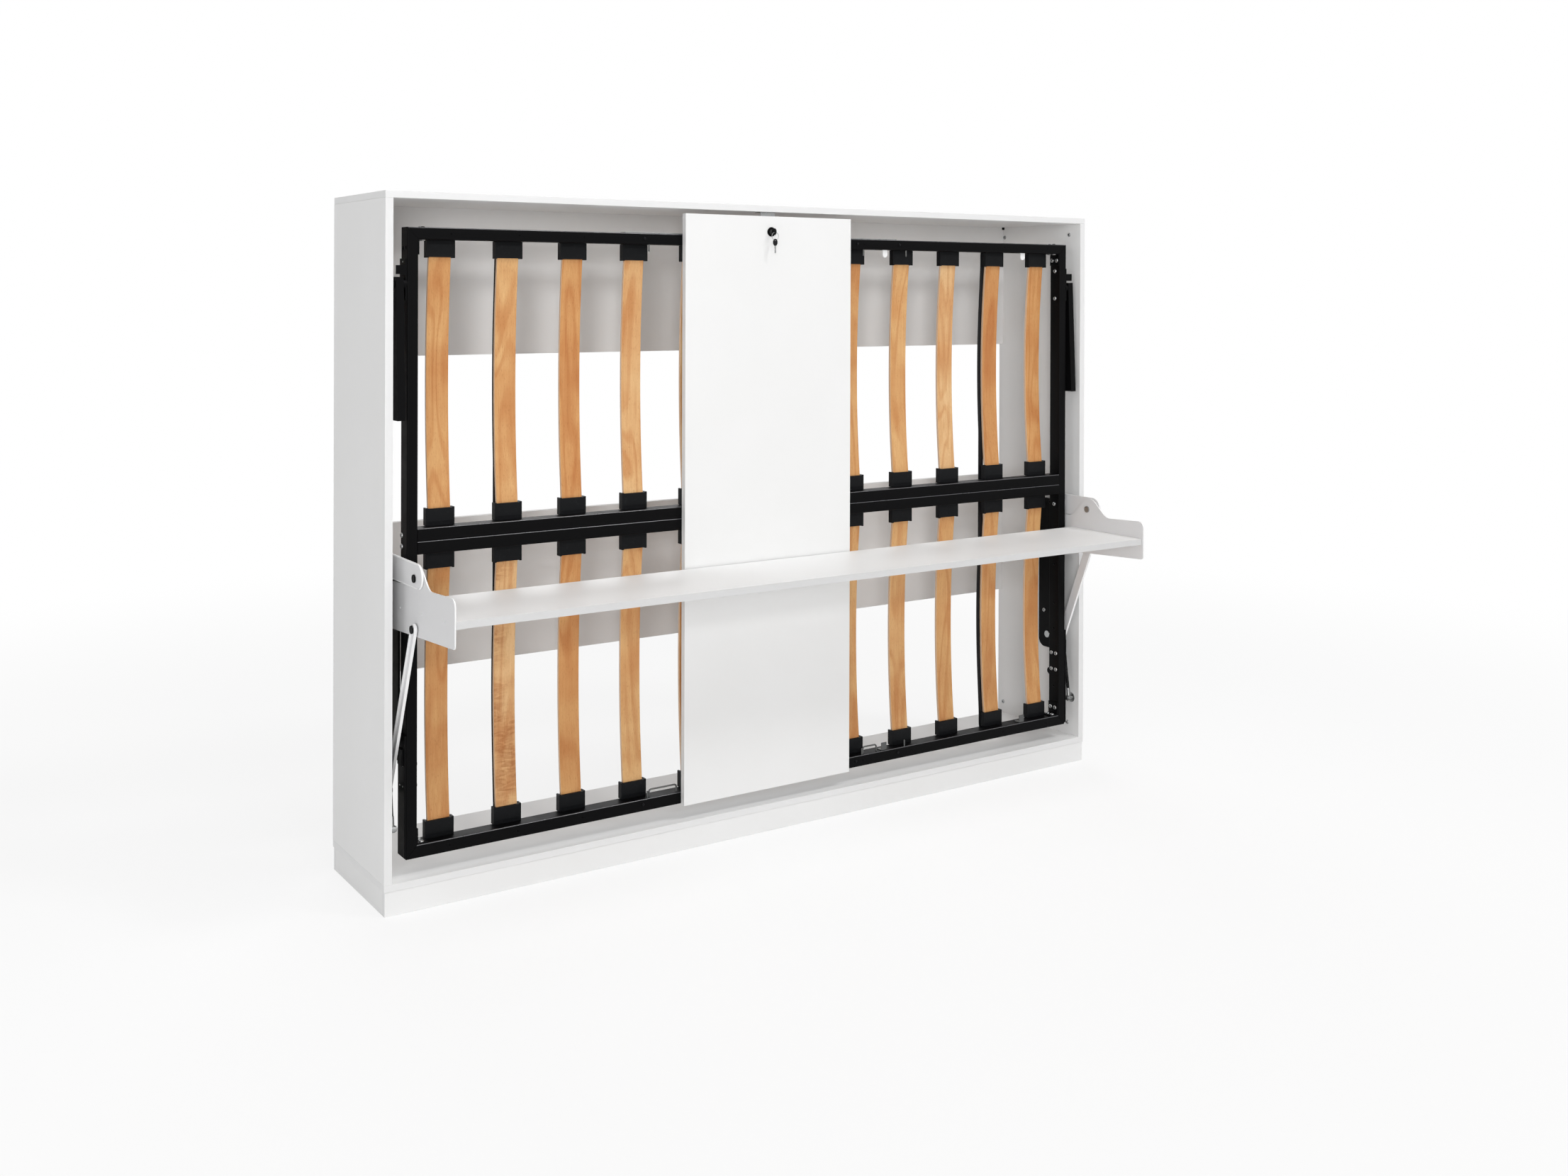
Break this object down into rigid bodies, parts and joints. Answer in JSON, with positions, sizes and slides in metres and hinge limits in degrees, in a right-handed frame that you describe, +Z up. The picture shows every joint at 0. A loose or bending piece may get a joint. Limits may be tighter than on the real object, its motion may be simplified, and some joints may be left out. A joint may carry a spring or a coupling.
{
  "type": "horizontal wall bed with desk",
  "caption": "Open cabinet with a slatted wall bed that folds down sideways on gas struts and swing-out legs, and a desk board that hangs in front of it and stays level.",
  "frame": {"origin": "centre of the part's footprint on the floor, under the middle of the box that holds the cabinet and the desk", "axes": "+X along the cabinet to the right as seen from the room, +Y towards the wall behind the cabinet, +Z up"},
  "size_m": [2.11, 0.631, 1.59],
  "materials": {
    "white_board": "smooth white melamine on particle board",
    "black_steel": "satin black powder coat",
    "strut_black": "semi-gloss black",
    "white_steel": "satin white powder coat",
    "bright_steel": "zinc plated",
    "beech": "clear lacquered bent beech",
    "black_plastic": "moulded, matte",
    "white_plastic": "moulded, matte",
    "webbing": "woven polyester webbing"
  },
  "bodies": {
    "cabinet": {"cabinet_top_panel": "white_board", "cabinet_left_side": "white_board", "cabinet_right_side": "white_board", "cabinet_bottom_panel": "white_board", "plinth_front_board": "white_board", "plinth_rear_board": "white_board", "plinth_side_boards": "white_board", "upper_back_board": "white_board", "middle_back_board": "white_board", "cabinet_screws": "bright_steel", "back_board_clips": "black_plastic", "lock_strike": "bright_steel", "pivot_base_left": "black_steel", "pivot_base_right": "black_steel", "strut_studs": "bright_steel"},
    "bed": {"frame_top_tube": "black_steel", "frame_bottom_tube": "black_steel", "frame_left_tube": "black_steel", "frame_right_tube": "black_steel", "middle_rail_upper": "black_steel", "middle_rail_lower": "black_steel", "corner_brackets": "black_steel", "frame_bolts": "bright_steel", "hinge_plate_left": "black_steel", "hinge_plate_right": "black_steel", "desk_arm_left": "white_steel", "desk_arm_right": "white_steel", "arm_bolts": "black_steel", "upper_slats": "beech", "lower_slats": "beech", "top_slat_holders": "black_plastic", "rail_slat_holders": "black_plastic", "bottom_slat_holders": "black_plastic", "mattress_strap_left": "webbing", "mattress_strap_right": "webbing", "front_panel": "white_board", "lock_plate": "bright_steel", "lock_barrel": "black_steel", "panel_tabs": "white_plastic", "panel_angles": "bright_steel", "panel_studs": "bright_steel", "panel_bar": "bright_steel", "leg_bracket_left": "black_steel", "leg_bracket_right": "black_steel"},
    "lock": {"lock_cam": "bright_steel", "lock_key": "bright_steel"},
    "keys": {"key_ring": "bright_steel", "spare_key": "black_plastic"},
    "desk": {"desk_board": "white_board", "desk_plate_left": "white_steel", "desk_plate_right": "white_steel", "desk_bolts": "black_steel"},
    "left_link": {"link_left": "white_steel"},
    "right_link": {"link_right": "white_steel"},
    "left_leg": {"leg_left": "black_steel"},
    "right_leg": {"leg_right": "black_steel"},
    "left_strut_rod": {"gas_rod_left": "strut_black"},
    "right_strut_rod": {"gas_rod_right": "strut_black"},
    "left_strut_cylinder": {"gas_cylinder_left": "strut_black"},
    "right_strut_cylinder": {"gas_cylinder_right": "strut_black"}
  },
  "joints": [
    {"name": "bed_fold", "type": "hinge", "parent": "cabinet", "child": "bed", "pos_m": [0, 0.0555, 0.361], "axis": [1, 0, 0], "range_deg": [0, 90], "stiffness_Nm_per_rad": 127, "springref_deg": -22.35},
    {"name": "desk_level", "type": "hinge", "parent": "bed", "child": "desk", "pos_m": [0, -0.0995, 0.748], "axis": [1, 0, 0], "range_deg": [-90, 0]},
    {"name": "left_link_turn", "type": "hinge", "parent": "cabinet", "child": "left_link", "pos_m": [-1.0133, 0.0555, 0.251], "axis": [1, 0, 0], "range_deg": [0, 90]},
    {"name": "right_link_turn", "type": "hinge", "parent": "cabinet", "child": "right_link", "pos_m": [1.0133, 0.0555, 0.251], "axis": [1, 0, 0], "range_deg": [0, 90]},
    {"name": "left_leg_swing", "type": "hinge", "parent": "bed", "child": "left_leg", "pos_m": [-1.016, -0.0045, 1.385], "axis": [1, 0, 0], "range_deg": [-90, 0]},
    {"name": "right_leg_swing", "type": "hinge", "parent": "bed", "child": "right_leg", "pos_m": [1.016, -0.0045, 1.385], "axis": [1, 0, 0], "range_deg": [-90, 0]},
    {"name": "left_strut_tilt", "type": "hinge", "parent": "cabinet", "child": "left_strut_rod", "pos_m": [-1.0265, -0.0045, 0.181], "axis": [1, 0, 0], "range_deg": [0, 66.6]},
    {"name": "left_strut_stroke", "type": "slide", "parent": "left_strut_rod", "child": "left_strut_cylinder", "axis": [0, 0.1335, 0.991], "range_m": [-0.1906, 0]},
    {"name": "right_strut_tilt", "type": "hinge", "parent": "cabinet", "child": "right_strut_rod", "pos_m": [1.0265, -0.0045, 0.181], "axis": [1, 0, 0], "range_deg": [0, 66.6]},
    {"name": "right_strut_stroke", "type": "slide", "parent": "right_strut_rod", "child": "right_strut_cylinder", "axis": [0, 0.1335, 0.991], "range_m": [-0.1906, 0]},
    {"name": "lock_turn", "type": "hinge", "parent": "bed", "child": "lock", "pos_m": [-0.046, -0.0325, 1.5235], "axis": [0, 1, 0], "range_deg": [-90, 0]},
    {"name": "key_ring_swing", "type": "hinge", "parent": "lock", "child": "keys", "pos_m": [-0.046, -0.051, 1.5221], "axis": [1, 0, 0], "range_deg": [-60, 10]}
  ],
  "couplings": [
    {"joint": "desk_level", "follows": "bed_fold", "ratio": -1},
    {"joint": "left_link_turn", "follows": "bed_fold", "ratio": 1},
    {"joint": "right_link_turn", "follows": "bed_fold", "ratio": 1},
    {"joint": "left_leg_swing", "follows": "bed_fold", "ratio": -1},
    {"joint": "right_leg_swing", "follows": "bed_fold", "ratio": -1},
    {"joint": "left_strut_tilt", "follows": "bed_fold", "ratio": 0.73892},
    {"joint": "left_strut_stroke", "follows": "bed_fold", "m_per_rad": -0.12123},
    {"joint": "right_strut_tilt", "follows": "bed_fold", "ratio": 0.73892},
    {"joint": "right_strut_stroke", "follows": "bed_fold", "m_per_rad": -0.12123}
  ]
}
